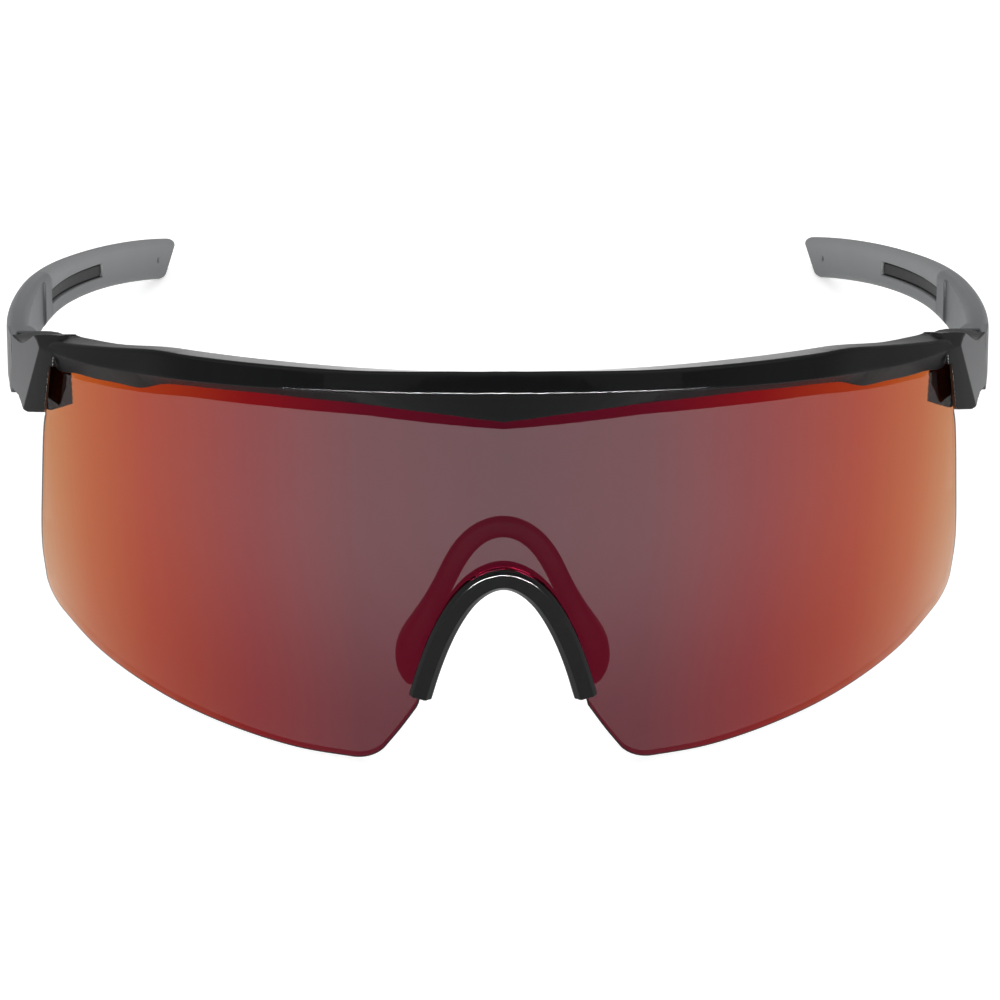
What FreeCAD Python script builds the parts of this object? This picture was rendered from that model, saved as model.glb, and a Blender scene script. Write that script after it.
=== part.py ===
import FreeCAD, Part

import math
import os

import Sketcher

# Wraparound sport sunglasses: one shield lens in a brow frame, a clip-on nose bridge and two folding temples.
#
# The pieces are drawn as the glasses are worn: X to the wearer's left, Y from the lens towards the ears,
# Z up from the lowest edge of the lens. One common placement then lays them down as they rest on a table,
# on the lens and on the two temple tips.

V = FreeCAD.Vector
ORIGIN, EAST, NORTH, UP = V(0, 0, 0), V(1, 0, 0), V(0, 1, 0), V(0, 0, 1)

DRIVING = [
    ("lens_radius", 82.0),          # plan radius of the lens's front face at its top edge
    ("lens_thickness", 2.0),
    ("lens_face_radius", 225.0),    # the upright curve of the same face
    ("lens_half_width", 68.65),
    ("lens_top", 57.3),             # the top edge, inside the brow's groove
    ("lens_tilt", 11.2),            # how far the lowest edge stands behind the top edge
    ("lens_tab_half_width", 66.7),  # the part that the end blocks hold
    ("snap_gap", 0.10),             # between the lens and the grooves that hold it
    ("brow_proud", 2.6),            # the crease of the brow, in front of the lens
    ("block_proud", 1.9),           # the front face of the end blocks, in front of the lens
    ("brow_back", 4.0),             # the back of the brow, behind the lens's front face
    ("brow_top", 60.3),
    ("lip_bottom", 46.6),           # the end block's lowest edge, beside the lens
    ("ear_bottom", 47.9),           # the underside of the hinge ears
    ("block_top", 55.7),
    ("flank_x", 72.2),              # the outside of the end block where the temple plate begins
    ("pin_x", 67.8),
    ("pin_y", 44.8),
    ("ear_radius", 3.6),
    ("knuckle_radius", 3.2),
    ("slot_low", 50.2),             # the hinge slot, between the two ears
    ("slot_high", 53.0),
    ("knuckle_play", 0.12),
    ("shank_diameter", 2.0),
    ("thread_diameter", 1.6),
    ("head_diameter", 3.4),
    ("head_height", 0.95),
    ("head_recess", 1.1),
    ("hex_size", 1.5),
    ("hex_depth", 0.7),
    ("running_gap", 0.04),          # radial, round the screw
    ("insert_diameter", 2.9),
    ("insert_waist", 2.5),
    ("insert_length", 2.0),
    ("press_gap", 0.02),            # radial, round the insert
    ("plate_gap", 0.25),            # between the end block and the temple plate outside it
    ("plate_thickness", 0.85),
    ("plate_front", 46.5),
    ("plate_bottom", 48.6),
    ("arm_front", 49.0),            # the front wall of the temple arm
    ("sleeve_front", 98.0),         # where the rubber sleeve begins
    ("tongue_end", 150.0),
    ("tongue_height", 4.6),
    ("tongue_thickness", 1.5),
    ("slot_height", 2.3),           # the slot in the sleeve's inner face
    ("slot_end", 129.5),
    ("sleeve_fit", 0.05),
    ("pin_hole_diameter", 0.9),
    ("pin_hole_at", 156.5),
    ("pin_hole_height", 45.9),
    ("clip_width", 3.3),
    ("clip_depth", 4.2),
    ("peg_diameter", 1.6),          # two pegs on the back of the clip hold the saddle's pads
    ("peg_height_on_lens", 18.6),
    ("peg_side", 10.6),
    ("peg_length", 4.2),
    ("rest_pitch", 16.58),           # lean of the worn attitude when the glasses lie on a table
    ("rest_shift", -90.71),
    ("rest_lift", 5.12),
]

doc = FreeCAD.newDocument("sport_sunglasses")
sheet = doc.addObject("Spreadsheet::Sheet", "Dimensions")
for row, (alias, value) in enumerate(DRIVING, start=1):
    sheet.set(f"A{row}", alias)
    sheet.set(f"B{row}", str(value))
    sheet.setAlias(f"B{row}", alias)
doc.recompute()


def dim(alias):
    """A driving dimension, read back from the sheet."""
    return float(sheet.get(alias))


REST = FreeCAD.Placement(
    V(0, dim("rest_shift"), dim("rest_lift")),
    FreeCAD.Rotation(EAST, -dim("rest_pitch")),
)
AXIS_Y = dim("lens_radius")         # the lens and the brow curve about the upright line X = 0, Y = AXIS_Y


# ---- small helpers -------------------------------------------------------------------------------

def add_shape(label, shape):
    """A sub-part whose free-form shape is set here, laid down with the others."""
    feature = doc.addObject("Part::Feature", label)
    feature.Label = label
    feature.Shape = shape
    feature.Placement = REST
    return feature


def add_body(label, shift=ORIGIN):
    body = doc.addObject("PartDesign::Body", label)
    body.Label = label
    body.Placement = REST * FreeCAD.Placement(shift, FreeCAD.Rotation())
    return body


def add_sketch(body, name, role):
    sketch = body.newObject("Sketcher::SketchObject", name)
    plane = next(feature for feature in body.Origin.OriginFeatures if feature.Role == role)
    sketch.AttachmentSupport = [(plane, "")]
    sketch.MapMode = "FlatFace"
    return sketch


def bind(sketch, constraint, expression):
    index = sketch.addConstraint(constraint)
    sketch.setExpression(f"Constraints[{index}]", expression)


def draw_polygon(sketch, corners):
    """A closed polygon whose corners are pairs of expressions in the sheet's dimensions."""
    count = len(corners)
    turn = 2 * math.pi / count
    rough = [V(math.cos(turn * k), math.sin(turn * k), 0) for k in range(count)]
    for k in range(count):
        sketch.addGeometry(Part.LineSegment(rough[k], rough[(k + 1) % count]))
    for k, (across, up) in enumerate(corners):
        sketch.addConstraint(Sketcher.Constraint("Coincident", k, 2, (k + 1) % count, 1))
        bind(sketch, Sketcher.Constraint("DistanceX", -1, 1, k, 1, rough[k].x), across)
        bind(sketch, Sketcher.Constraint("DistanceY", -1, 1, k, 1, rough[k].y), up)


def line(start, end):
    return Part.LineSegment(start, end).toShape()


def smooth(*points):
    curve = Part.BSplineCurve()
    curve.interpolate(list(points))
    return curve


def prism(edges, direction):
    """A straight-sided solid from a closed chain of edges."""
    return Part.Face(Part.Wire(edges)).extrude(direction)


def polygon_prism(points, direction):
    return Part.Face(Part.makePolygon([*points, points[0]])).extrude(direction)


def mirrored(shape):
    return shape.mirror(ORIGIN, EAST)


def one_solid(shape):
    """The single solid in the result of a boolean."""
    if len(shape.Solids) != 1:
        volumes = [round(solid.Volume, 2) for solid in shape.Solids]
        raise ValueError(f"expected one solid, found volumes {volumes}")
    return shape.Solids[0]


def along(curve, y):
    """The point and the direction of a curve where it passes a given Y."""
    low, high = curve.FirstParameter, curve.LastParameter
    for _ in range(40):
        middle = (low + high) / 2
        if curve.value(middle).y < y:
            low = middle
        else:
            high = middle
    return curve.value(low), curve.tangent(low)[0]


def rounded_section(centre, across, up, width, height, radius):
    """A rectangle with round corners, in the plane of two unit vectors."""
    a, b = width / 2, height / 2
    k = radius * (1 - math.sqrt(0.5))

    def at(u, v):
        return centre + across * u + up * v

    edges = []
    for su, sv, swap in ((1, 1, False), (-1, 1, True), (-1, -1, False), (1, -1, True)):
        ends = [at(su * a, sv * (b - radius)), at(su * (a - radius), sv * b)]
        if swap:
            ends.reverse()
        edges.append((ends[0], at(su * (a - k), sv * (b - k)), ends[1]))
    chain = []
    for k in range(4):
        start, middle, end = edges[k]
        chain.append(Part.Arc(start, middle, end).toShape())
        chain.append(line(end, edges[(k + 1) % 4][0]))
    return Part.Wire(chain)


# ---- the lens's barrel face ----------------------------------------------------------------------

def face_arc(offset, low, high):
    """The upright profile of the lens's front face moved out by offset, as an arc in the plane X = 0.

    Returned as its two ends and its middle."""
    top = V(0, 0, dim("lens_top"))
    foot = V(0, dim("lens_tilt"), 0)
    half = (top - foot).Length / 2
    inward = (top - foot).cross(EAST).normalize()
    if inward.y < 0:
        inward = -inward
    rise = math.sqrt(dim("lens_face_radius") ** 2 - half ** 2)
    centre = (top + foot) * 0.5 + inward * rise
    radius = dim("lens_face_radius") + offset

    def at(z):
        return V(0, centre.y - math.sqrt(radius ** 2 - (z - centre.z) ** 2), z)

    return at(low), at((low + high) / 2), at(high)


def lens_depth(x, z, offset=0.0):
    """Y of the lens's front face, moved out by offset."""
    radius = AXIS_Y - face_arc(offset, z, z + 1)[0].y
    return AXIS_Y - math.sqrt(radius ** 2 - x ** 2)


def barrel(outer, inner, low, high, half_angle=70):
    """A shell between two offsets of the lens's front face."""
    front = face_arc(outer, low, high)
    back = face_arc(inner, low, high)
    profile = Part.Face(Part.Wire([
        Part.Arc(*front).toShape(),
        line(front[2], back[2]),
        Part.Arc(*reversed(back)).toShape(),
        line(back[0], front[0]),
    ]))
    profile.rotate(V(0, AXIS_Y, 0), UP, -half_angle)
    return profile.revolve(V(0, AXIS_Y, 0), UP, 2 * half_angle)


# ---- shield lens ---------------------------------------------------------------------------------

NOTCH = [(12.1, 9.2), (11.6, 11.2), (9.5, 18.3), (6.6, 24.7), (3.6, 28.3), (0.0, 29.7)]


def notch_points():
    """The edge of the nose cut-out, from the wearer's left over the bridge to the right, in X and Z."""
    right = [(-x, z) for x, z in reversed(NOTCH[:-1])]
    return NOTCH + right


def lens_outline():
    """The lens seen from the front, as sketch geometry in X and Z."""
    tab, top = dim("lens_tab_half_width"), dim("lens_top")
    half, below = dim("lens_half_width"), dim("lip_bottom") - 0.5  # the tab ends just under the lip
    foot = NOTCH[0]
    side = [V(67.0, below, 0), V(67.9, 34.5, 0), V(half, 23.7, 0), V(half - 0.3, 18.6, 0)]
    corner = [side[-1], V(67.7, 16.0, 0), V(65.6, 13.4, 0)]
    hem = [corner[-1], V(60.0, 9.5, 0), V(50.2, 5.3, 0), V(41.0, 2.7, 0), V(30.0, 0.6, 0), V(21.5, 0.0, 0)]
    toe = [hem[-1], V(18.9, 0.5, 0), V(17.0, 1.9, 0)]
    rising = [toe[-1], V(14.6, 5.3, 0), V(foot[0], foot[1], 0)]
    left = [
        Part.LineSegment(V(tab, top, 0), V(tab, below, 0)),
        Part.LineSegment(V(tab, below, 0), side[0]),
        smooth(*side),
        Part.Arc(*corner),
        smooth(*hem),
        Part.Arc(*toe),
        smooth(*rising),
    ]
    right = [mirror_in_sketch(curve) for curve in left]
    notch = smooth(*[V(x, z, 0) for x, z in notch_points()])
    bar = Part.LineSegment(V(-tab, top, 0), V(tab, top, 0))
    return [*left, notch, *right, bar]


def mirror_in_sketch(curve):
    copy = curve.copy()
    copy.mirror(ORIGIN, NORTH)
    return copy


def make_lens():
    """A slice of a barrel, cut to the shield's outline."""
    body = add_body("shield_lens", V(0, AXIS_Y, 0))

    section = add_sketch(body, "lens_section", "YZ_Plane")
    low, high = -4.0, dim("lens_top") + 2
    front = [V(point.y - AXIS_Y, point.z, 0) for point in face_arc(0, low, high)]
    back = [V(point.y - AXIS_Y, point.z, 0) for point in face_arc(-dim("lens_thickness"), low, high)]
    section.addGeometry(Part.Arc(*front))
    section.addGeometry(Part.LineSegment(front[2], back[2]))
    section.addGeometry(Part.Arc(*back))
    section.addGeometry(Part.LineSegment(back[0], front[0]))
    for geometry in (0, 2):
        section.addConstraint(Sketcher.Constraint("Block", geometry))
    shell = body.newObject("PartDesign::Revolution", "lens_barrel")
    shell.Profile = section
    shell.ReferenceAxis = (section, ["V_Axis"])
    shell.Angle = 150
    shell.Midplane = True
    doc.recompute()
    whole = shell.Shape.Volume

    cutter = add_sketch(body, "shield_outline", "XZ_Plane")
    rim = [V(-90, -20, 0), V(90, -20, 0), V(90, 80, 0), V(-90, 80, 0)]
    for k in range(4):
        cutter.addGeometry(Part.LineSegment(rim[k], rim[(k + 1) % 4]))
    for curve in lens_outline():
        cutter.addGeometry(curve)
    trim = body.newObject("PartDesign::Pocket", "shield_trim")
    trim.Profile = cutter
    trim.Type = "ThroughAll"
    trim.Midplane = True
    doc.recompute()
    if not trim.Shape.Volume < whole:
        raise ValueError("the shield was not trimmed")
    return body


# ---- brow frame ----------------------------------------------------------------------------------

# X on the brow's front, then heights: the lower edge in front of the lens and behind it, the crease, and the
# top in front and at the back. A shallow peak in the middle, a small step in the lower edge near the ends.
BROW_STATIONS = [
    (0.0, 52.90, 51.2, 57.45, 60.20, 59.35),
    (8.3, 53.95, 51.8, 57.40, 60.15, 59.35),
    (20.8, 55.15, 52.8, 57.20, 59.80, 59.40),
    (34.0, 55.60, 53.0, 56.95, 59.80, 59.60),
    (46.3, 55.40, 53.0, 56.70, 59.85, 59.70),
    (50.0, 54.95, 52.8, 56.75, 60.00, 59.70),
    (52.4, 54.00, 52.6, 56.80, 59.80, 59.50),
    (58.0, 54.05, 52.3, 56.65, 59.10, 58.80),
    (62.0, 54.00, 52.2, 56.70, 58.60, 58.55),
    (66.0, 54.20, 52.2, 56.90, 58.05, 58.55),
]
BROW_SECTIONS = 25


def brow_station(x):
    """The heights at any X, straight between the stations."""
    for before, after in zip(BROW_STATIONS, BROW_STATIONS[1:]):
        if x <= after[0]:
            share = (x - before[0]) / (after[0] - before[0])
            return [x, *(a + (b - a) * share for a, b in zip(before[1:], after[1:]))]
    return BROW_STATIONS[-1]


def brow_section(x, lower_edge, back_edge, crease, front_top, back_top):
    """The brow cut square to its length: two front facets that meet in the crease, a top, a deeper back."""
    radius, proud, depth = dim("lens_radius"), dim("brow_proud"), dim("brow_back")
    angle = math.asin(x / (radius + proud))
    sunk_from, sunk_to = 56.0, BROW_STATIONS[-1][0]
    sunk = max(0.0, x - sunk_from) / (sunk_to - sunk_from)
    proud -= sunk * (proud - dim("block_proud"))
    in_lens = radius - dim("lens_thickness") / 2 - 0.3
    corners = [
        (radius + 0.6, lower_edge),
        (radius + proud, crease),
        (radius + 1.3, front_top - 0.3),
        (radius + 0.7, front_top),
        (radius - depth + 0.8, back_top),
        (radius - depth, back_top - 0.8),
        (radius - depth, back_edge + 0.5),
        (radius - depth + 0.5, back_edge),
        (in_lens, back_edge),
        (in_lens, lower_edge),
    ]
    points = [V(r * math.sin(angle), AXIS_Y - r * math.cos(angle), z) for r, z in corners]
    return Part.makePolygon([*points, points[0]])


def on_ring(radius, degrees, z):
    """A point on an upright ring about the lens's axis."""
    angle = math.radians(degrees)
    return V(radius * math.sin(angle), AXIS_Y - radius * math.cos(angle), z)


def block_plan(z):
    """The left end block's outline at one height, from the front face round the outside to the hinge ear.

    Both edges of the flank lean: it is longer and wider further down."""
    front = dim("lens_radius") + dim("block_proud")
    back = dim("lens_radius") - dim("brow_back")
    pin, ear = V(dim("pin_x"), dim("pin_y"), z), dim("ear_radius")
    below = dim("block_top") - z
    turn = 53.3 + 0.35 * below
    start, middle, corner = (on_ring(front, degrees, z) for degrees in (50.4, (50.4 + turn) / 2, turn))
    flank = V(dim("flank_x") + 0.06 * below, dim("plate_front") - dim("plate_gap"), z)
    recess = V(pin.x + math.sqrt(ear ** 2 - (flank.y - pin.y) ** 2), flank.y, z)
    rear, inside = pin + V(0, ear, 0), pin + V(-ear, 0, 0)
    inner_far, inner_near = on_ring(back - 0.6, 54.5, z), on_ring(back, 52, z)
    return Part.Wire([
        Part.Arc(start, middle, corner).toShape(),
        line(corner, flank),
        line(flank, recess),
        arc_about(pin, recess, rear),
        arc_about(pin, rear, inside),
        line(inside, inner_far),
        line(inner_far, inner_near),
        line(inner_near, start),
    ])


def end_block():
    """The left end of the brow: it turns down, holds the lens's end in a groove and carries the hinge ears.

    Its front face goes on round the lens, and a slanted edge parts it from the flank."""
    radius, proud = dim("lens_radius"), dim("block_proud")
    bottom, top = dim("lip_bottom"), dim("block_top")
    plan = Part.makeLoft([block_plan(bottom - 2), block_plan(dim("brow_top") + 1)], True, True)

    def in_side(y, z):
        return V(50, y, z)

    crown = smooth(in_side(22, 58.9), in_side(27, 58.9), in_side(31, 58.8), in_side(34.5, 58.2),
                   in_side(37.5, 56.9), in_side(40.5, top + 0.2), in_side(44.0, top), in_side(52.0, top))
    profile = prism([
        crown.toShape(),
        line(in_side(52.0, top), in_side(52.0, dim("ear_bottom"))),
        line(in_side(52.0, dim("ear_bottom")), in_side(40.0, dim("ear_bottom"))),
        line(in_side(40.0, dim("ear_bottom")), in_side(34.8, bottom)),
        line(in_side(34.8, bottom), in_side(22, bottom + 2.7)),
        line(in_side(22, bottom + 2.7), in_side(22, 58.9)),
    ], V(30, 0, 0))
    block = plan.common(profile)

    # the upper facet of the brow goes on over the block, and the outer corner of its top falls away
    crease, clear, above = 56.9, radius + 6, 64
    upper = [(radius + proud, crease), (clear, crease), (clear, above), (radius, above), (radius, 58.6),
             (radius + 1.2, 57.75)]
    points = [on_ring(r, 40, z) for r, z in upper]
    facet = Part.Face(Part.makePolygon([*points, points[0]]))
    over = facet.revolve(V(0, AXIS_Y, 0), UP, 25)
    fall = [(66.4, 59.6), (69.2, 57.6), (74.0, 54.8), (74.0, above), (66.4, above)]
    corner = polygon_prism([V(x, 10, z) for x, z in fall], V(0, 30, 0))
    block = block.cut(over).cut(corner)

    # the front lip and the rear jaw stop at different widths, so the lens shows between them
    def in_front(x, z):
        return V(x, -5, z)

    below, lip_top, jaw_top = bottom - 5, 54.6, 52.4
    lip_trim = polygon_prism([
        in_front(40, below), in_front(66.3, below), in_front(66.3, bottom), in_front(65.2, lip_top),
        in_front(40, lip_top)], V(0, 60, 0))
    jaw_trim = prism([
        line(in_front(40, below), in_front(65.4, below)),
        line(in_front(65.4, below), in_front(65.4, bottom)),
        smooth(in_front(65.4, bottom), in_front(64.6, bottom + 0.5), in_front(64.2, bottom + 1.8)).toShape(),
        line(in_front(64.2, bottom + 1.8), in_front(63.6, jaw_top)),
        line(in_front(63.6, jaw_top), in_front(40, jaw_top)),
        line(in_front(40, jaw_top), in_front(40, below)),
    ], V(0, 60, 0))
    lip_trim = lip_trim.common(barrel(6, -1, below, 62))
    jaw_trim = jaw_trim.common(barrel(-1, -9, below, 62))
    return one_solid(block.cut(lip_trim).cut(jaw_trim))


def arc_about(centre, start, end):
    """The short arc from start to end about a centre."""
    middle = (start - centre) + (end - centre)
    middle = middle.normalize() * (start - centre).Length
    return Part.Arc(start, centre + middle, end).toShape()


def hinge_cuts():
    """What the left end block loses to the hinge: the knuckle's slot and the holes of screw and insert."""
    x, y = dim("pin_x"), dim("pin_y")
    low, high = dim("slot_low"), dim("slot_high")
    bottom = dim("ear_bottom")
    reach = dim("knuckle_radius") + 0.3
    behind = Part.makeBox(10 + reach, 20 - reach, high - low, V(x - 10, y, low))
    inside = Part.makeBox(10, reach, high - low, V(x - 10, y - reach, low))
    slot = behind.fuse([inside, Part.makeCylinder(reach, high - low, V(x, y, low))])
    recess = Part.makeCylinder(dim("head_diameter") / 2 + 0.1, dim("head_recess"), V(x, y, bottom))
    shank = Part.makeCylinder(dim("shank_diameter") / 2 + dim("running_gap"), low - bottom, V(x, y, bottom))
    seat = Part.makeCylinder(
        dim("insert_diameter") / 2 + dim("press_gap"), dim("insert_length") + dim("press_gap"), V(x, y, high))
    return [slot, recess, shank, seat]


def make_brow():
    last = BROW_STATIONS[-1][0]
    places = [last * k / (BROW_SECTIONS - 1) for k in range(BROW_SECTIONS)]
    half = Part.makeLoft([brow_section(*brow_station(x)) for x in places], True, False)
    half = half.fuse(end_block())
    for cut in hinge_cuts():
        half = half.cut(cut)
    brow = half.fuse(mirrored(half)).removeSplitter()
    gap = dim("snap_gap")
    groove = barrel(gap, -dim("lens_thickness") - gap, 40, dim("lens_top") + gap)
    reach = dim("lens_tab_half_width") + gap
    groove = groove.common(Part.makeBox(2 * reach, 80, 60, V(-reach, -20, 10)))
    return add_shape("brow_frame", one_solid(brow.cut(groove)))


# ---- nose bridge ---------------------------------------------------------------------------------

def on_lens(direction, point):
    """A direction in the front view, leaned so that it lies in the lens at a point."""
    middle, step = -dim("lens_thickness") / 2, 0.5
    ahead = point + direction * step
    behind = point - direction * step
    rise = lens_depth(ahead.x, ahead.z, middle) - lens_depth(behind.x, behind.z, middle)
    return (direction + NORTH * (rise / (2 * step))).normalize()


def notch_frames(steps):
    """Places along the nose cut-out: a point in the lens's thickness, the way out into the lens, the way back."""
    flat = smooth(*[V(x, 0, z) for x, z in notch_points()])
    start, end = flat.parameter(V(NOTCH[1][0], 0, NOTCH[1][1])), flat.parameter(V(-NOTCH[1][0], 0, NOTCH[1][1]))
    for k in range(steps + 1):
        parameter = start + (end - start) * k / steps
        point, tangent = flat.value(parameter), flat.tangent(parameter)[0]
        point.y = lens_depth(point.x, point.z, -dim("lens_thickness") / 2)
        outward = on_lens(NORTH.cross(tangent).normalize(), point)
        yield point, outward, outward.cross(on_lens(tangent, point)).normalize()


def clip_section(point, outward, back):
    """A channel with its mouth towards the lens: the lens's edge stands on its floor."""
    if back.y < 0:
        back = -back
    width, depth, gap = dim("clip_width") / 2, dim("clip_depth") / 2, dim("snap_gap")
    mouth, floor = dim("lens_thickness") / 2 + gap, -gap - 0.3
    corners = [
        (width, -mouth), (width, -depth + 0.5), (width - 0.6, -depth), (-width + 0.8, -depth),
        (-width, -depth + 0.9), (-width, depth - 0.9), (-width + 0.8, depth), (width - 0.6, depth),
        (width, depth - 0.5), (width, mouth), (floor, mouth), (floor, -mouth),
    ]
    points = [point + outward * u + back * v for u, v in corners]
    return Part.makePolygon([*points, points[0]])


def pegs(extra):
    """The two pegs on the back of the clip, grown by extra all round."""
    x, z = dim("peg_side"), dim("peg_height_on_lens")
    start = lens_depth(x, z, -dim("lens_thickness") / 2) + dim("clip_depth") / 2 - 0.5
    radius = dim("peg_diameter") / 2 + extra
    length = dim("peg_length") + 0.5 + extra
    peg = Part.makeCylinder(radius, length, V(x, start, z), NORTH)
    return [peg, mirrored(peg)]


def make_clip():
    sections = [clip_section(*frame) for frame in notch_frames(16)]
    clip = Part.makeLoft(sections, True, False)
    return add_shape("nose_clip", one_solid(clip.fuse(pegs(0.0))))


# the centre (X, Y, Z), the width and the depth of the saddle's sections, from the bridge down the left side
SADDLE_STATIONS = [
    (0.0, 9.4, 35.6, 3.0, 2.4),
    (3.7, 9.5, 34.3, 3.0, 2.4),
    (7.1, 9.9, 29.9, 3.0, 2.6),
    (8.8, 10.7, 26.2, 3.0, 3.2),
    (10.9, 12.1, 21.6, 3.8, 4.6),
    (12.7, 13.4, 17.0, 5.0, 6.2),
    (12.6, 14.1, 13.2, 4.2, 5.2),
    (12.3, 14.3, 11.6, 2.6, 3.6),
]


def make_saddle():
    """A soft arch behind the lens with a pad on each leg; the pads sit on the back of the clip."""
    right = [(-x, y, z, width, depth) for x, y, z, width, depth in reversed(SADDLE_STATIONS[1:])]
    stations = right + SADDLE_STATIONS
    path = smooth(*[V(x, y, z) for x, y, z, _, _ in stations])
    sections = []
    for x, y, z, width, depth in stations:
        centre = V(x, y, z)
        tangent = path.tangent(path.parameter(centre))[0]
        across = tangent.cross(NORTH).normalize()
        sections.append(rounded_section(centre, across, NORTH, width, depth, min(width, depth) * 0.4))
    saddle = Part.makeLoft(sections, True, False)
    for hole in pegs(dim("sleeve_fit")):
        saddle = saddle.cut(hole)
    return add_shape("nose_saddle", one_solid(saddle))


# ---- temples -------------------------------------------------------------------------------------

# the middle of the left temple from above, and its upper and lower edges from the side
PLAN = smooth(V(71.15, 49, 0), V(71.85, 54, 0), V(72.6, 60, 0), V(73.2, 72, 0), V(73.25, 84, 0), V(72.6, 97, 0),
              V(71.0, 110, 0), V(68.5, 122, 0), V(65.2, 135, 0), V(61.8, 147, 0), V(58.2, 159, 0), V(53.8, 172, 0))
TOP_EDGE = smooth(V(0, 49, 55.7), V(0, 72, 55.9), V(0, 97, 55.1), V(0, 122, 53.5), V(0, 147, 50.9), V(0, 172, 46.7))
LOW_EDGE = smooth(V(0, 49, 46.4), V(0, 72, 46.8), V(0, 97, 47.2), V(0, 122, 46.5), V(0, 147, 43.9), V(0, 172, 39.6))


def thickness_at(y):
    """3.5 mm at the hinge and as far as the sleeve, 2.8 at the tip."""
    return 3.5 - 0.7 * max(0, y - 98) / 70


def temple_section(y, inset=0.0, thickness=None, height=None, shift=0.0, radius=1.3):
    """The left temple cut square to its length."""
    centre, tangent = along(PLAN, y)
    top, low = along(TOP_EDGE, y)[0].z, along(LOW_EDGE, y)[0].z
    centre.z = (top + low) / 2
    across = tangent.cross(UP).normalize()
    thickness = thickness_at(y) if thickness is None else thickness
    height = top - low if height is None else height
    return rounded_section(
        centre + across * shift, across, UP, thickness - 2 * inset, height - 2 * inset, radius)


def temple_loft(first, last, **section):
    count = max(3, round((last - first) / 9))
    places = [first + (last - first) * k / count for k in range(count + 1)]
    return Part.makeLoft([temple_section(y, **section) for y in places], True, False)


def temple_front():
    """The front of the left arm: a wall behind the end block, a plate that wraps outside it and the knuckle."""
    x, y = dim("pin_x"), dim("pin_y")
    ear, gap, plate = dim("ear_radius"), dim("plate_gap"), dim("plate_thickness")
    wall, front, back = dim("arm_front"), dim("plate_front"), 53.0
    low, top = along(LOW_EDGE, wall)[0].z, along(TOP_EDGE, wall)[0].z
    middle, half = along(PLAN, back)[0].x, thickness_at(back) / 2

    def at(x, y):
        return V(x, y, low)

    inner, outer = x + ear + gap, x + ear + gap + plate
    outside = smooth(at(dim("flank_x") + 0.2, front), at(outer + 0.35, wall), at(middle + half, back))
    root = 68.6                     # where the arm's inner face meets the wall
    inside = smooth(at(middle - half, back), at(69.2, 51), at(root, wall))
    plan = prism([
        outside.toShape(),
        line(at(middle + half, back), at(middle - half, back)),
        inside.toShape(),
        line(at(root, wall), at(inner, wall)),
        line(at(inner, wall), at(inner, front)),
        line(at(inner, front), at(dim("flank_x") + 0.2, front)),
    ], V(0, 0, top - low))
    chin = polygon_prism([
        V(60, front - 1, low - 1), V(60, wall - 0.3, low - 1), V(60, wall - 0.3, low + 0.3),
        V(60, front, dim("plate_bottom")), V(60, front - 1, dim("plate_bottom"))], V(20, 0, 0))
    play = dim("knuckle_play")
    knuckle_low = dim("slot_low") + play
    knuckle_height = dim("slot_high") - dim("slot_low") - 2 * play
    knuckle = Part.makeCylinder(dim("knuckle_radius"), knuckle_height, V(x, y, knuckle_low))
    neck = Part.makeBox(4.8, wall + 1.5 - y, knuckle_height, V(x - 1.6, y, knuckle_low))
    front_end = plan.cut(chin).fuse([knuckle, neck])
    pin_hole = Part.makeCylinder(dim("shank_diameter") / 2 + dim("running_gap"), 12, V(x, y, low))
    return one_solid(front_end.cut(pin_hole))


def make_arm():
    """The left arm: front end, beam and the tongue that the sleeve slides over.

    Inside, the beam is thinner under a band along its upper edge; a groove runs under the band."""
    sleeve_front = dim("sleeve_front")
    beam = temple_loft(dim("arm_front") + 0.2, sleeve_front)
    thinned = temple_loft(51, 92, thickness=1.6, height=9.6, shift=-2.1, radius=0.3)
    thinned.translate(V(0, 0, -1.3))
    groove = temple_loft(51, 92, thickness=1.6, height=0.8, shift=-1.8, radius=0.2)
    groove.translate(V(0, 0, 3.1))
    tongue = temple_loft(sleeve_front - 2, dim("tongue_end"), thickness=dim("tongue_thickness"),
                         height=dim("tongue_height"), radius=0.5)
    rib = temple_loft(sleeve_front - 2, dim("slot_end") - 0.1, thickness=1.2,
                      height=dim("slot_height") - 0.1, shift=-0.7, radius=0.4)
    arm = temple_front().fuse(beam).cut(thinned).cut(groove)
    return one_solid(arm.fuse([tongue, rib]))


def make_sleeve():
    """The left rubber sleeve: slotted inside, cut slantwise at the tip, with a pin hole."""
    front, fit = dim("sleeve_front"), dim("sleeve_fit")
    shell = temple_loft(front, 170)

    def in_side(y, z):
        return V(40, y, z)

    tip = prism([
        line(in_side(90, 30), in_side(151, 30)),
        line(in_side(151, 30), in_side(157.0, 41.4)),
        Part.Arc(in_side(157.0, 41.4), in_side(158.9, 41.9), in_side(159.9, 43.0)).toShape(),
        line(in_side(159.9, 43.0), in_side(163.7, 46.8)),
        Part.Arc(in_side(163.7, 46.8), in_side(164.2, 47.9), in_side(163.4, 49.0)).toShape(),
        line(in_side(163.4, 49.0), in_side(160.0, 60)),
        line(in_side(160.0, 60), in_side(90, 60)),
        line(in_side(90, 60), in_side(90, 30)),
    ], V(40, 0, 0))
    shell = shell.common(tip)
    bore = temple_loft(front - 1, dim("tongue_end") + fit, thickness=dim("tongue_thickness") + 2 * fit,
                       height=dim("tongue_height") + 2 * fit, radius=0.5)
    slot = temple_loft(front - 1, dim("slot_end"), thickness=3.0, height=dim("slot_height"), shift=-1.6,
                       radius=0.4)
    centre, tangent = along(PLAN, dim("pin_hole_at"))
    across = tangent.cross(UP).normalize()
    hole = Part.makeCylinder(
        dim("pin_hole_diameter") / 2, 12, centre + UP * dim("pin_hole_height") - across * 6, across)
    return one_solid(shell.cut(bore).cut(slot).cut(hole))


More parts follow.
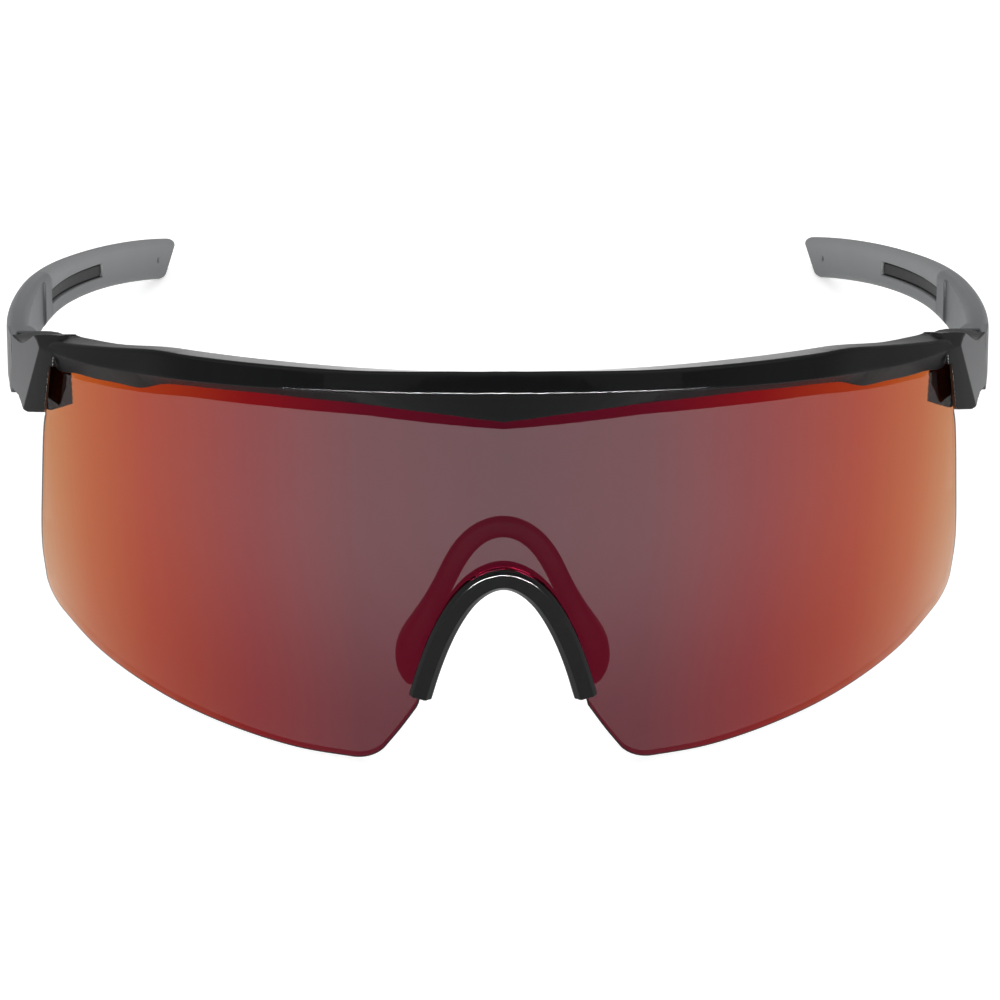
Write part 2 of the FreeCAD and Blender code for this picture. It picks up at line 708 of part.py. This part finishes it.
# ---- hinge hardware ------------------------------------------------------------------------------

def revolve_profile(body, name, corners):
    sketch = add_sketch(body, name, "XZ_Plane")
    draw_polygon(sketch, corners)
    turned = body.newObject("PartDesign::Revolution", f"{name}_turned")
    turned.Profile = sketch
    turned.ReferenceAxis = (sketch, ["V_Axis"])
    turned.Angle = 360
    doc.recompute()
    return turned


def make_screw(side, x):
    """The shouldered screw, put in from below: head in the lower ear, shank in the knuckle, thread above."""
    body = add_body(f"hinge_screw_{side}", V(x, dim("pin_y"), 0))
    d = "Dimensions."
    foot = f"{d}ear_bottom + {d}head_recess - {d}head_height"
    shoulder = f"{d}ear_bottom + {d}head_recess"
    neck = f"{d}slot_high"
    end = f"{d}slot_high + {d}insert_length - 0.3"
    turned = revolve_profile(body, "screw_profile", [
        ("0", foot), (f"{d}head_diameter / 2", foot), (f"{d}head_diameter / 2", shoulder),
        (f"{d}shank_diameter / 2", shoulder), (f"{d}shank_diameter / 2", neck),
        (f"{d}thread_diameter / 2", neck), (f"{d}thread_diameter / 2", end), ("0", end),
    ])
    socket = body.newObject("PartDesign::SubtractivePrism", "hex_socket")
    socket.Polygon = 6
    socket.setExpression("Circumradius", f"{d}hex_size / sqrt(3)")
    socket.setExpression("Height", f"{d}hex_depth")
    socket.setExpression("Placement.Base.z", foot)
    doc.recompute()
    if not socket.Shape.Volume < turned.Shape.Volume:
        raise ValueError("the hex socket cut nothing")
    return body


def make_insert(side, x):
    """The threaded brass insert in the upper ear, waisted so that the nylon holds it."""
    body = add_body(f"hinge_insert_{side}", V(x, dim("pin_y"), 0))
    d = "Dimensions."
    bore = f"{d}thread_diameter / 2 + {d}press_gap"
    outer, waist = f"{d}insert_diameter / 2", f"{d}insert_waist / 2"
    low = f"{d}slot_high"
    levels = [f"{low} + {d}insert_length * {share}" for share in (0.35, 0.45, 0.6, 0.7, 1.0)]
    revolve_profile(body, "insert_profile", [
        (bore, low), (outer, low), (outer, levels[0]), (waist, levels[1]), (waist, levels[2]),
        (outer, levels[3]), (outer, levels[4]), (bore, levels[4]),
    ])
    return body


# ---- assembly ------------------------------------------------------------------------------------

def main():
    parts = [make_lens(), make_brow(), make_clip(), make_saddle()]
    arm, sleeve = make_arm(), make_sleeve()
    for side, sign in (("left", 1), ("right", -1)):
        parts.append(add_shape(f"temple_arm_{side}", arm if sign > 0 else mirrored(arm)))
        parts.append(add_shape(f"temple_sleeve_{side}", sleeve if sign > 0 else mirrored(sleeve)))
        parts.append(make_screw(side, sign * dim("pin_x")))
        parts.append(make_insert(side, sign * dim("pin_x")))
    doc.recompute()

    for thing in doc.Objects:
        if "Invalid" in thing.State or "Error" in thing.State:
            raise ValueError(f"{thing.Label}: {thing.State}")
    os.makedirs("parts", exist_ok=True)
    for part in parts:
        if part.Shape.isNull() or not part.Shape.isValid():
            raise ValueError(f"{part.Label} has no valid shape")
        part.Shape.exportStep(f"parts/{part.Label}.step")
        print(f"{part.Label:22} {part.Shape.Volume:9.1f} mm3  {len(part.Shape.Solids)} solid")


main()
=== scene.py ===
import math

import bmesh
import bpy
import numpy as np
from mathutils import Matrix, Vector
from mathutils.geometry import delaunay_2d_cdt


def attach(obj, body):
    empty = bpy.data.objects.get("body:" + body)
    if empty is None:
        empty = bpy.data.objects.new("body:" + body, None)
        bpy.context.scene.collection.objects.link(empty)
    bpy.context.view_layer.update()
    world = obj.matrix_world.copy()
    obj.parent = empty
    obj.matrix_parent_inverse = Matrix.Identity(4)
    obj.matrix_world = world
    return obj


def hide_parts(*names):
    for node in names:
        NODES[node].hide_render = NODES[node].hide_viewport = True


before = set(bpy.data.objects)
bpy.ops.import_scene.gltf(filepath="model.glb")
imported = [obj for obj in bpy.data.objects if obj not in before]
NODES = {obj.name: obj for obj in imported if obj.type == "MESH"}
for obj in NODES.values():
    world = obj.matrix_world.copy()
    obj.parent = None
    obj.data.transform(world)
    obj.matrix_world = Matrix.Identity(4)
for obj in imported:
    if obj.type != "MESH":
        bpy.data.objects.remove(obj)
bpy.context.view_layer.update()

MM = 0.001

# the lens is drawn as worn, then pitched forward and moved to where the glasses lie on the table
REST_PITCH = math.radians(16.58)
REST_SHIFT, REST_LIFT = -90.71, 5.12


def laid_down(points):
    """Points drawn as worn, in mm, moved to the part's frame, in metres."""
    p = np.asarray(points, float)
    c, s = math.cos(REST_PITCH), math.sin(REST_PITCH)
    y = p[:, 1] * c + p[:, 2] * s + REST_SHIFT
    z = -p[:, 1] * s + p[:, 2] * c + REST_LIFT
    return np.column_stack([p[:, 0], y, z]) * MM


# ---- camera, floor and light ---------------------------------------------------------------------

CAMERA_TARGET = Vector((0.0, -0.07878, 0.04518))
CAMERA_SIDE = Vector((-0.01439, -0.86082, 0.50870))     # from the target towards the camera
CAMERA_DISTANCE = 0.600
CAMERA_ROLL = math.radians(0.3)
CAMERA_SHIFT = -0.004
SENSOR_WIDTH = 36.0
FOCAL_LENGTH = 155.72
FLOOR_REACH = 12.0


def make_camera():
    data = bpy.data.cameras.new("camera")
    camera = bpy.data.objects.new("camera", data)
    bpy.context.scene.collection.objects.link(camera)
    back = CAMERA_SIDE.normalized()
    camera.location = CAMERA_TARGET + back * CAMERA_DISTANCE
    turn = (-back).to_track_quat("-Z", "Y").to_matrix()
    camera.rotation_mode = "QUATERNION"
    camera.rotation_quaternion = (turn @ Matrix.Rotation(CAMERA_ROLL, 3, "Z")).to_quaternion()
    data.sensor_width = SENSOR_WIDTH
    data.lens = FOCAL_LENGTH
    data.shift_x = CAMERA_SHIFT
    data.clip_start, data.clip_end = 0.01, 50.0
    bpy.context.scene.camera = camera


def make_floor():
    """A pale floor that also glows a little, so that it stays white in front of the shade."""
    data = bpy.data.meshes.new("floor")
    corners = [(x * FLOOR_REACH, y * FLOOR_REACH, 0) for x, y in ((-1, -1), (1, -1), (1, 1), (-1, 1))]
    data.from_pydata(corners, [], [(0, 1, 2, 3)])
    floor = bpy.data.objects.new("floor", data)
    bpy.context.scene.collection.objects.link(floor)
    paint = Paint("floor_white")
    paint.set("Base Color", (0.93, 0.93, 0.93, 1))
    paint.set("Roughness", 0.9)
    paint.set("Specular IOR Level", 0.0)
    paint.set("Emission Color", (1, 1, 1, 1))
    paint.set("Emission Strength", 0.45)
    data.materials.append(paint.material)


def area_light(name, place, aim, width, height, power):
    data = bpy.data.lights.new(name, "AREA")
    data.shape = "RECTANGLE"
    data.size, data.size_y = width, height
    data.energy = power
    light = bpy.data.objects.new(name, data)
    light.location = place
    light.rotation_mode = "QUATERNION"
    light.rotation_quaternion = (Vector(aim) - Vector(place)).to_track_quat("-Z", "Y")
    bpy.context.scene.collection.objects.link(light)
    return light


def make_light():
    """Soft overhead light, a low strip in front, and a room that is bright behind and dim in front."""
    area_light("overhead", (0, 0.15, 1.6), (0, 0, 0), 2.2, 2.2, 13)
    strip = area_light("front_strip", (0, -1.5, 0.62), (0, 0, 0.05), 2.4, 0.08, 900)
    strip.visible_diffuse = False
    world = bpy.data.worlds.new("studio")
    bpy.context.scene.world = world
    world.use_nodes = True
    tree = world.node_tree
    tree.nodes.clear()
    add = Adder(tree)
    place = add("ShaderNodeTexCoord").outputs["Generated"]
    split = add("ShaderNodeSeparateXYZ", Vector=place)
    depth = add("ShaderNodeMapRange", Value=split.outputs["Y"])
    aside = add("ShaderNodeMath", Value=split.outputs["X"])
    aside.operation = "ABSOLUTE"
    sides = add("ShaderNodeMapRange", Value=aside.outputs[0])
    for node, numbers in ((depth, (-0.55, 0.35, 0.10, 0.50)), (sides, (0.45, 0.95, 0.0, 0.9))):
        for key, number in zip(RANGE_SOCKETS, numbers):
            node.inputs[key].default_value = number
    total = add("ShaderNodeMath")
    add.feed(total.inputs[0], depth.outputs["Result"])
    add.feed(total.inputs[1], sides.outputs["Result"])
    ground = add("ShaderNodeBackground", Strength=total.outputs[0])
    ground.inputs["Color"].default_value = (1, 1, 1, 1)
    out = add("ShaderNodeOutputWorld")
    tree.links.new(ground.outputs["Background"], out.inputs["Surface"])


# ---- node helpers --------------------------------------------------------------------------------

RANGE_SOCKETS = ("From Min", "From Max", "To Min", "To Max")


class Adder:
    """Adds nodes to a tree; keyword arguments are input sockets, given as a link or a plain value."""

    def __init__(self, tree):
        self.tree = tree

    def __call__(self, kind, **inputs):
        node = self.tree.nodes.new(kind)
        for key, value in inputs.items():
            self.feed(node.inputs[key], value)
        return node

    def feed(self, socket, value):
        if isinstance(value, bpy.types.NodeSocket):
            self.tree.links.new(value, socket)
        else:
            socket.default_value = value


class Paint:
    """A Principled material with the few node recipes that the pieces share."""

    def __init__(self, name):
        self.material = bpy.data.materials.new(name)
        self.material.use_nodes = True
        self.tree = self.material.node_tree
        self.tree.nodes.clear()
        self.add = Adder(self.tree)
        self.shader = self.add("ShaderNodeBsdfPrincipled")
        out = self.add("ShaderNodeOutputMaterial")
        self.tree.links.new(self.shader.outputs["BSDF"], out.inputs["Surface"])
        self.place = self.add("ShaderNodeTexCoord").outputs["Object"]

    def set(self, name, value):
        self.add.feed(self.shader.inputs[name], value)

    def math(self, operation, a, b=0.0):
        node = self.add("ShaderNodeMath")
        node.operation = operation
        self.add.feed(node.inputs[0], a)
        self.add.feed(node.inputs[1], b)
        return node.outputs[0]

    def axis(self, letter):
        """A coordinate in mm."""
        split = self.add("ShaderNodeSeparateXYZ", Vector=self.place)
        return self.math("MULTIPLY", split.outputs[letter], 1 / MM)

    def away(self):
        """Distance from the middle plane in mm."""
        return self.math("ABSOLUTE", self.axis("X"))

    def span(self, value, low, high, start=0.0, end=1.0, smooth=True):
        node = self.add("ShaderNodeMapRange", Value=value)
        node.interpolation_type = "SMOOTHSTEP" if smooth else "LINEAR"
        for key, number in zip(RANGE_SOCKETS, (low, high, start, end)):
            self.add.feed(node.inputs[key], number)
        return node.outputs["Result"]

    def noise(self, per_mm, detail=2.0, roughness=0.5, stretch=(1, 1, 1)):
        scaled = self.add("ShaderNodeMapping", Vector=self.place)
        scaled.inputs["Scale"].default_value = stretch
        node = self.add("ShaderNodeTexNoise", Vector=scaled.outputs["Vector"])
        node.inputs["Scale"].default_value = per_mm / MM
        node.inputs["Detail"].default_value = detail
        node.inputs["Roughness"].default_value = roughness
        return node.outputs["Fac"]

    def ramp(self, value, stops):
        node = self.add("ShaderNodeValToRGB", Fac=value)
        node.color_ramp.interpolation = "LINEAR"
        elements = node.color_ramp.elements
        while len(elements) < len(stops):
            elements.new(0.5)
        for element, (at, colour) in zip(elements, stops):
            element.position = at
            element.color = (*colour, 1.0)
        return node.outputs["Color"]

    def mix(self, share, a, b):
        """Colour a, or b where share is 1."""
        node = self.add("ShaderNodeMix")
        node.data_type = "RGBA"
        self.add.feed(node.inputs[0], share)
        for socket, colour in ((node.inputs[6], a), (node.inputs[7], b)):
            self.add.feed(socket, colour if isinstance(colour, bpy.types.NodeSocket) else (*colour, 1.0))
        return node.outputs[2]

    def bump(self, height, depth_mm, strength=1.0):
        node = self.add("ShaderNodeBump", Height=height)
        node.inputs["Strength"].default_value = strength
        node.inputs["Distance"].default_value = depth_mm * MM
        self.set("Normal", node.outputs["Normal"])


# ---- materials -----------------------------------------------------------------------------------

def frame_nylon():
    """Moulded nylon: polished in the middle of the brow, spark-textured at the ends, whose outward-facing
    flanks get painted light that makes them greyer.
    """
    paint = Paint("brow_nylon")
    satin = paint.span(paint.away(), 36.0, 56.0)
    normal = paint.add("ShaderNodeNewGeometry").outputs["Normal"]
    facing = paint.add("ShaderNodeSeparateXYZ", Vector=normal)
    outward = paint.math("MULTIPLY", facing.outputs["X"], paint.math("SIGN", paint.axis("X")))
    # painted light: the outward-facing flanks of the end blocks are made grey as if lit from the sides
    painted_lit_flank = paint.span(outward, 0.84, 0.93)
    grain = paint.noise(9.0, detail=3.0)
    base = paint.mix(satin, (0.0085, 0.0088, 0.0095), (0.0015, 0.0016, 0.0020))
    speck = paint.mix(paint.math("MULTIPLY", grain, 0.25), base, (0.006, 0.0065, 0.007))
    tone = paint.mix(satin, base, speck)
    paint.set("Base Color", paint.mix(painted_lit_flank, tone, (0.083, 0.085, 0.089)))
    rough = paint.span(satin, 0.0, 1.0, 0.06, 0.38)
    paint.set("Roughness", paint.math("ADD", rough, paint.math("MULTIPLY", grain, 0.05)))
    paint.set("Specular IOR Level", 0.07)
    paint.set("IOR", 1.5)
    paint.bump(paint.math("MULTIPLY", grain, paint.span(satin, 0.0, 1.0)), 0.012)
    return paint.material


def lens_coat():
    """The red mirror coating, with the shift of its reflection colour at oblique angles painted by
    position: almost black in the middle, through red and orange to tan at the ends.
    """
    paint = Paint("mirror_coat")
    away = paint.span(paint.away(), 0.0, 70.0, smooth=False)
    # partly painted reflection: the coating's own red, shifted to orange and tan along the width to stand
    # in for its reflection colour at oblique angles
    coat_with_painted_angle_tint = paint.ramp(away, [
        (0.00, (0.072, 0.003, 0.011)),
        (0.29, (0.104, 0.004, 0.013)),
        (0.51, (0.200, 0.006, 0.008)),
        (0.73, (0.328, 0.032, 0.006)),
        (0.86, (0.404, 0.072, 0.003)),
        (0.93, (0.430, 0.125, 0.014)),
        (1.00, (0.445, 0.180, 0.036)),
    ])
    cloud = paint.noise(0.05)
    paint.set("Base Color", paint.mix(paint.math("MULTIPLY", cloud, 0.08), coat_with_painted_angle_tint, (0.16, 0.01, 0.02)))
    paint.set("Metallic", 1.0)
    paint.set("Roughness", paint.span(paint.noise(1.2), 0.0, 1.0, 0.05, 0.08))
    # less see-through towards the ends, and towards the bottom as painted shadow of the floor seen through
    # the lens
    clear = paint.math("MULTIPLY", paint.span(paint.away(), 20.0, 58.0, 1.0, 0.55),
                       paint.span(paint.axis("Z"), 5.0, 42.0, 0.55, 1.0))
    paint.set("Alpha", paint.math("SUBTRACT", 1.0, paint.math("MULTIPLY", clear, 0.165)))
    return paint.material


def smoke(name, alpha):
    """Smoke polycarbonate: the inside of the shield, and its polished rim, which looks nearly solid."""
    paint = Paint(name)
    haze = paint.noise(0.08)
    paint.set("Base Color", paint.mix(haze, (0.010, 0.009, 0.010), (0.016, 0.012, 0.013)))
    paint.set("Roughness", paint.span(paint.noise(0.9), 0.0, 1.0, 0.03, 0.06))
    paint.set("Specular IOR Level", 0.08)
    paint.set("Alpha", alpha)
    return paint.material


def clip_gloss():
    paint = Paint("bridge_gloss")
    cloud = paint.noise(0.6)
    paint.set("Base Color", paint.mix(cloud, (0.003, 0.003, 0.004), (0.007, 0.007, 0.008)))
    paint.set("Roughness", paint.span(paint.noise(2.5), 0.0, 1.0, 0.10, 0.20))
    paint.set("Specular IOR Level", 0.15)
    paint.bump(paint.noise(1.4), 0.01, 0.5)
    return paint.material


def saddle_rubber():
    paint = Paint("saddle_tpe")
    grain = paint.noise(6.0, detail=4.0)
    paint.set("Base Color", paint.mix(grain, (0.008, 0.008, 0.009), (0.015, 0.015, 0.016)))
    paint.set("Roughness", paint.span(grain, 0.0, 1.0, 0.52, 0.68))
    paint.bump(grain, 0.02)
    return paint.material


def temple_nylon():
    """Satin nylon, with painted shade making it nearly black from where the sleeve covers it."""
    paint = Paint("temple_satin")
    grain = paint.noise(8.0, detail=3.0)
    cloud = paint.noise(0.12)
    tone = paint.mix(cloud, (0.088, 0.092, 0.098), (0.102, 0.107, 0.113))
    skin = paint.mix(paint.math("MULTIPLY", grain, 0.3), tone, (0.140, 0.146, 0.152))
    back = paint.math("MULTIPLY", paint.axis("Y"), math.cos(REST_PITCH))
    drop = paint.math("MULTIPLY", paint.axis("Z"), math.sin(REST_PITCH))
    # painted shade: nearly black from where the sleeve covers the arm, in the sleeve's slot
    painted_slot_shade = paint.span(paint.math("SUBTRACT", back, drop), 9.5, 10.2)
    paint.set("Base Color", paint.mix(painted_slot_shade, skin, (0.006, 0.006, 0.007)))
    paint.set("Roughness", paint.span(grain, 0.0, 1.0, 0.36, 0.48))
    paint.set("Specular IOR Level", 0.06)
    paint.bump(grain, 0.012)
    return paint.material


def sleeve_rubber():
    paint = Paint("sleeve_tpe")
    grain = paint.noise(7.0, detail=5.0, roughness=0.65)
    cloud = paint.noise(0.15)
    tone = paint.mix(cloud, (0.118, 0.122, 0.127), (0.138, 0.143, 0.148))
    paint.set("Base Color", paint.mix(paint.math("MULTIPLY", grain, 0.4), tone, (0.20, 0.21, 0.21)))
    paint.set("Specular IOR Level", 0.35)
    paint.set("Roughness", paint.span(grain, 0.0, 1.0, 0.62, 0.78))
    paint.bump(grain, 0.03)
    return paint.material


def screw_steel():
    paint = Paint("turned_steel")
    lines = paint.noise(12.0, stretch=(1, 1, 6))
    paint.set("Base Color", paint.mix(lines, (0.42, 0.42, 0.43), (0.60, 0.60, 0.61)))
    paint.set("Metallic", 1.0)
    paint.set("Roughness", paint.span(lines, 0.0, 1.0, 0.22, 0.36))
    paint.bump(lines, 0.004)
    return paint.material


def insert_brass():
    paint = Paint("turned_brass")
    lines = paint.noise(10.0, stretch=(1, 1, 6))
    paint.set("Base Color", paint.mix(lines, (0.60, 0.42, 0.16), (0.74, 0.55, 0.24)))
    paint.set("Metallic", 1.0)
    paint.set("Roughness", paint.span(lines, 0.0, 1.0, 0.25, 0.40))
    paint.bump(lines, 0.004)
    return paint.material


# ---- pieces --------------------------------------------------------------------------------------

def baked(obj):
    """The object's mesh with its modifiers applied."""
    graph = bpy.context.evaluated_depsgraph_get()
    return bpy.data.meshes.new_from_object(obj.evaluated_get(graph))


def show(name, mesh, body, materials, nodes):
    """A finished piece that stands for CAD nodes."""
    piece = bpy.data.objects.new(name, mesh)
    bpy.context.scene.collection.objects.link(piece)
    mesh.materials.clear()
    for material in materials:
        mesh.materials.append(material)
    for face in mesh.polygons:
        face.use_smooth = True
    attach(piece, body)
    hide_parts(*nodes)
    return piece


def moulded(node, voxel, rounds, limit):
    """A node's shape with its edges rounded as a mould leaves them, in at most limit triangles.

    It is remeshed in voxels of a size in mm, smoothed a number of rounds, and thinned.
    """
    mesh = NODES[node].data.copy()
    mesh.transform(Matrix.Scale(1 / MM, 4))
    work = bpy.data.objects.new("work", mesh)
    bpy.context.scene.collection.objects.link(work)
    remesh = work.modifiers.new("remesh", "REMESH")
    remesh.mode = "VOXEL"
    remesh.voxel_size = voxel
    soften = work.modifiers.new("soften", "SMOOTH")
    soften.factor = 0.5
    soften.iterations = rounds
    done = baked(work)
    bpy.data.objects.remove(work)
    triangles = len(done.polygons) * 2
    if triangles > limit:
        holder = bpy.data.objects.new("holder", done)
        bpy.context.scene.collection.objects.link(holder)
        thin = holder.modifiers.new("thin", "DECIMATE")
        thin.ratio = limit / triangles
        done = baked(holder)
        bpy.data.objects.remove(holder)
    done.transform(Matrix.Scale(MM, 4))
    return done


# ---- shield lens ---------------------------------------------------------------------------------

LENS_RADIUS = 82.0              # of the wrap round the face, seen from above
LENS_FACE_RADIUS = 225.0        # of the bulge from top to bottom
LENS_TOP = 57.3
LENS_TILT = 11.2                # how much further back the lower edge lies than the top
LENS_THICKNESS = 2.0
TAB = 66.7                      # half the width of the lens's straight top
RIM_ROUND = 0.3
RIM_STEPS = 3                   # loops in each rounded edge
GRID_PITCH = 1.6
GRID_REACH, GRID_LOW = 69.0, 0.4
GRID_MARGIN = 0.7               # from the rim to the nearest grid point

# the outline in the front view as (X, Z), starting beside the nose or at the top corner
NOTCH = [(12.1, 9.2), (11.6, 11.2), (9.5, 18.3), (6.6, 24.7), (3.6, 28.3), (0.0, 29.7)]
LENS_SIDE = [(66.7, 46.0), (67.0, 44.6), (67.9, 34.5), (68.65, 23.7), (68.35, 18.6)]
LENS_CORNER = [(68.35, 18.6), (67.7, 16.0), (65.6, 13.4)]
LENS_HEM = [(65.6, 13.4), (60.0, 9.5), (50.2, 5.3), (41.0, 2.7), (30.0, 0.6), (21.5, 0.0)]
LENS_TOE = [(21.5, 0.0), (18.9, 0.5), (17.0, 1.9)]
LENS_RISE = [(17.0, 1.9), (14.6, 5.3), (12.1, 9.2)]


def ring_radius(z, offset=0.0):
    """Radius of the lens's front face about its upright axis at a height, moved out by offset."""
    half = math.hypot(LENS_TILT, LENS_TOP) / 2
    rise = math.sqrt(LENS_FACE_RADIUS ** 2 - half ** 2)
    slope = math.atan2(LENS_TILT, LENS_TOP)
    centre_y = LENS_TILT / 2 + rise * math.cos(slope)
    centre_z = LENS_TOP / 2 + rise * math.sin(slope)
    radius = LENS_FACE_RADIUS + offset
    return LENS_RADIUS - centre_y + np.sqrt(radius ** 2 - (np.asarray(z) - centre_z) ** 2)


def spline(points, step=0.35):
    """A smooth open line through points, as even short steps (centripetal Catmull-Rom)."""
    p = np.asarray(points, float)
    p = np.vstack([2 * p[0] - p[1], p, 2 * p[-1] - p[-2]])
    out = []
    for a, b, c, d in zip(p[:-3], p[1:-2], p[2:-1], p[3:]):
        count = max(2, int(np.linalg.norm(c - b) / step))
        ta = np.linalg.norm(b - a) ** 0.5
        tb = ta + np.linalg.norm(c - b) ** 0.5
        tc = tb + np.linalg.norm(d - c) ** 0.5
        for t in np.linspace(ta, tb, count, endpoint=False):
            ab = a + (b - a) * t / ta
            bc = b + (c - b) * (t - ta) / (tb - ta)
            cd = c + (d - c) * (t - tb) / (tc - tb)
            abc = ab + (bc - ab) * t / tb
            bcd = bc + (cd - bc) * (t - ta) / (tc - ta)
            out.append(abc + (bcd - abc) * (t - ta) / (tb - ta))
    return np.array(out)


def arc_through(points, step=0.35):
    """The circle's arc through three points, as even short steps."""
    a, b, c = (np.asarray(p, float) for p in points)
    d = 2 * (a[0] * (b[1] - c[1]) + b[0] * (c[1] - a[1]) + c[0] * (a[1] - b[1]))
    q = [p @ p for p in (a, b, c)]
    centre = np.array([
        (q[0] * (b[1] - c[1]) + q[1] * (c[1] - a[1]) + q[2] * (a[1] - b[1])) / d,
        (q[0] * (c[0] - b[0]) + q[1] * (a[0] - c[0]) + q[2] * (b[0] - a[0])) / d,
    ])
    radius = np.linalg.norm(a - centre)
    start = math.atan2(*(a - centre)[::-1])
    end = math.atan2(*(c - centre)[::-1])
    sweep = (end - start + math.pi) % (2 * math.pi) - math.pi
    count = max(3, int(abs(sweep) * radius / step))
    turns = start + sweep * np.arange(count) / count
    return centre + radius * np.column_stack([np.cos(turns), np.sin(turns)])


def straight(a, b, step=0.6):
    """Points along a straight line, without its end."""
    a, b = np.asarray(a, float), np.asarray(b, float)
    count = max(2, int(np.linalg.norm(b - a) / step))
    return a + (b - a) * np.arange(count)[:, None] / count


def lens_edge():
    """The shield's outline in the front view, as a closed loop of close points."""
    left = np.vstack([
        straight((TAB, LENS_TOP), LENS_SIDE[0]),
        spline(LENS_SIDE),
        arc_through(LENS_CORNER),
        spline(LENS_HEM),
        arc_through(LENS_TOE),
        spline(LENS_RISE),
    ])
    arch = spline(NOTCH + [(-x, z) for x, z in reversed(NOTCH[:-1])])
    right = left[::-1] * (-1, 1)
    bar = straight((-TAB, LENS_TOP), (TAB, LENS_TOP))[1:]
    return np.vstack([left, arch, right, bar])


def shrunk(loop, distance):
    """A closed loop moved inwards, along the mean of its neighbours' normals."""
    ahead = np.roll(loop, -1, 0) - np.roll(loop, 1, 0)
    ahead /= np.linalg.norm(ahead, axis=1)[:, None]
    area = np.sum(loop[:, 0] * np.roll(loop[:, 1], -1) - np.roll(loop[:, 0], -1) * loop[:, 1])
    inward = np.column_stack([-ahead[:, 1], ahead[:, 0]]) * np.sign(area)
    return loop + inward * distance


def inside(loop, points, margin):
    """Which points lie inside a closed loop, further than margin from it."""
    x, z = points[:, 0], points[:, 1]
    hit = np.zeros(len(points), bool)
    for (x0, z0), (x1, z1) in zip(loop, np.roll(loop, -1, 0)):
        if z0 != z1:
            hit ^= ((z0 > z) != (z1 > z)) & (x < (x1 - x0) * (z - z0) / (z1 - z0) + x0)
    near = np.array([np.min(np.sum((loop - p) ** 2, axis=1)) for p in points])
    return hit & (near > margin ** 2)


def filled(rim):
    """The rim's loop filled with triangles on an even grid: points, faces, and the rim's places in them."""
    xs = np.arange(-GRID_REACH, GRID_REACH, GRID_PITCH)
    zs = np.arange(GRID_LOW, LENS_TOP, GRID_PITCH)
    grid = np.array([(x, z) for z in zs for x in xs])
    grid = grid[inside(rim, grid, GRID_MARGIN)]
    flat = [Vector(p) for p in np.vstack([rim, grid])]
    count = len(rim)
    border = [(k, (k + 1) % count) for k in range(count)]
    out, _, faces, sources, _, _ = delaunay_2d_cdt(flat, border, [], 1, 1e-6)
    assert len(out) == len(flat), "the lens outline crosses itself"
    place = {source[0]: k for k, source in enumerate(sources)}
    return np.array([tuple(p) for p in out]), faces, [place[k] for k in range(count)]


def on_barrel(flat, offset):
    """Front-view points laid on the lens's front face, or on a face at an offset from it."""
    radius = ring_radius(flat[:, 1], offset)
    y = LENS_RADIUS - np.sqrt(radius ** 2 - flat[:, 0] ** 2)
    return np.column_stack([flat[:, 0], y, flat[:, 1]])


def rim_levels():
    """Inset and offset of each loop round the rim: a rounded edge in front and one behind."""
    turns = np.linspace(0, math.pi / 2, RIM_STEPS + 1)[1:]
    front = [(RIM_ROUND * (1 - math.sin(turn)), -RIM_ROUND * (1 - math.cos(turn))) for turn in turns]
    back = [(inset, -LENS_THICKNESS - offset) for inset, offset in front]
    return front + back[::-1]


def make_lens(coat, back, rim_material):
    """Front and back faces on the exact barrel, joined by a rim with rounded edges."""
    edge = lens_edge()
    flat, faces, rim = filled(shrunk(edge, RIM_ROUND))
    blocks = [on_barrel(flat, 0.0)]
    loops = [rim]
    start = len(flat)
    for inset, offset in rim_levels():
        blocks.append(on_barrel(shrunk(edge, inset), offset))
        loops.append(list(range(start, start + len(edge))))
        start += len(edge)
    blocks.append(on_barrel(flat, -LENS_THICKNESS))
    loops.append([start + k for k in rim])
    points = np.vstack(blocks)

    polygons, kinds = [], []
    for face in faces:
        a, b, c = (points[k] for k in face[:3])
        face = list(face)
        if np.cross(b - a, c - a)[1] > 0:
            face.reverse()
        polygons += [face, [start + k for k in reversed(face)]]
        kinds += [0, 1]
    for upper, lower in zip(loops, loops[1:]):
        for k in range(len(edge)):
            j = (k + 1) % len(edge)
            polygons.append([upper[k], upper[j], lower[j], lower[k]])
            kinds.append(2)
    mesh = bpy.data.meshes.new("shield_lens")
    mesh.from_pydata(laid_down(points).tolist(), [], polygons)
    mesh.update()
    piece = show("shield", mesh, "front", [coat, back, rim_material], ["shield_lens"])
    for polygon, kind in zip(mesh.polygons, kinds):
        polygon.material_index = kind
    fix_winding(mesh)
    piece.visible_diffuse = False


def fix_winding(mesh):
    """All faces turned outwards."""
    work = bmesh.new()
    work.from_mesh(mesh)
    bmesh.ops.recalc_face_normals(work, faces=work.faces)
    work.to_mesh(mesh)
    work.free()


def main():
    bpy.context.scene.view_settings.view_transform = "Standard"
    make_camera()
    make_floor()
    make_light()

    brow = moulded("brow_frame", 0.16, 6, 190000)
    show("brow", brow, "front", [frame_nylon()], ["brow_frame"])
    make_lens(lens_coat(), smoke("smoke_polycarbonate", 0.55), smoke("smoke_rim", 0.92))
    clip = moulded("nose_clip", 0.10, 6, 120000)
    show("bridge_clip", clip, "front", [clip_gloss()], ["nose_clip"])
    saddle = moulded("nose_saddle", 0.14, 6, 80000)
    show("saddle", saddle, "front", [saddle_rubber()], ["nose_saddle"])

    nylon, rubber = temple_nylon(), sleeve_rubber()
    for side in ("left", "right"):
        body = f"temple_{side}"
        arm = moulded(f"temple_arm_{side}", 0.14, 5, 150000)
        show(f"arm_{side}", arm, body, [nylon], [f"temple_arm_{side}"])
        sleeve = moulded(f"temple_sleeve_{side}", 0.14, 5, 120000)
        show(f"sleeve_{side}", sleeve, body, [rubber], [f"temple_sleeve_{side}"])

    steel, brass = screw_steel(), insert_brass()
    for side in ("left", "right"):
        for node, metal in ((f"hinge_screw_{side}", steel), (f"hinge_insert_{side}", brass)):
            NODES[node].data.materials.clear()
            NODES[node].data.materials.append(metal)


main()
